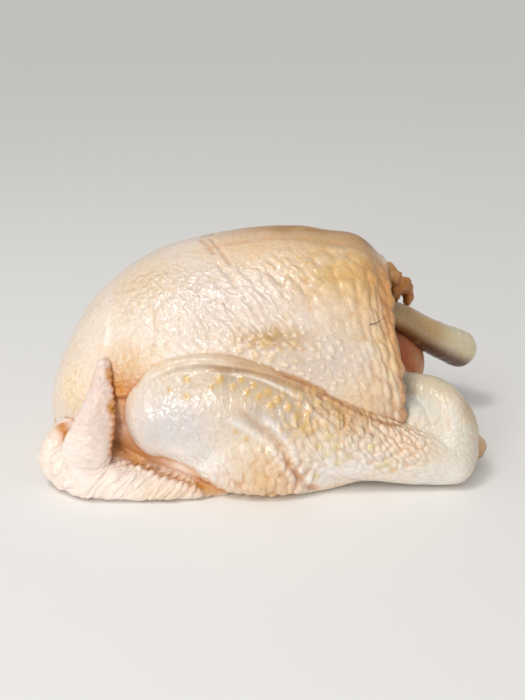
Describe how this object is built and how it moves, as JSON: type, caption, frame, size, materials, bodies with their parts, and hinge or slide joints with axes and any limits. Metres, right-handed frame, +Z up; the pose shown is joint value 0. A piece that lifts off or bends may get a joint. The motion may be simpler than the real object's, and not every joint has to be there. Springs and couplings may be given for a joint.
{
  "type": "whole raw chicken",
  "caption": "Plucked and drawn raw village chicken on its back, breast up, legs folded with the shanks in the vent and wings folded against the breast.",
  "frame": {"origin": "middle of the bird's box, on the surface that its back rests on", "axes": "+Z up through the breast, +X towards the tail and hocks, -X towards the neck end, -Y towards the leg and wing that the picture shows"},
  "size_m": [0.226, 0.1338, 0.1149],
  "materials": {
    "raw_skin": "wet translucent raw skin, pale cream with yellow fat and pink flesh under it"
  },
  "bodies": {
    "root": {"chicken": "raw_skin"}
  },
  "joints": []
}
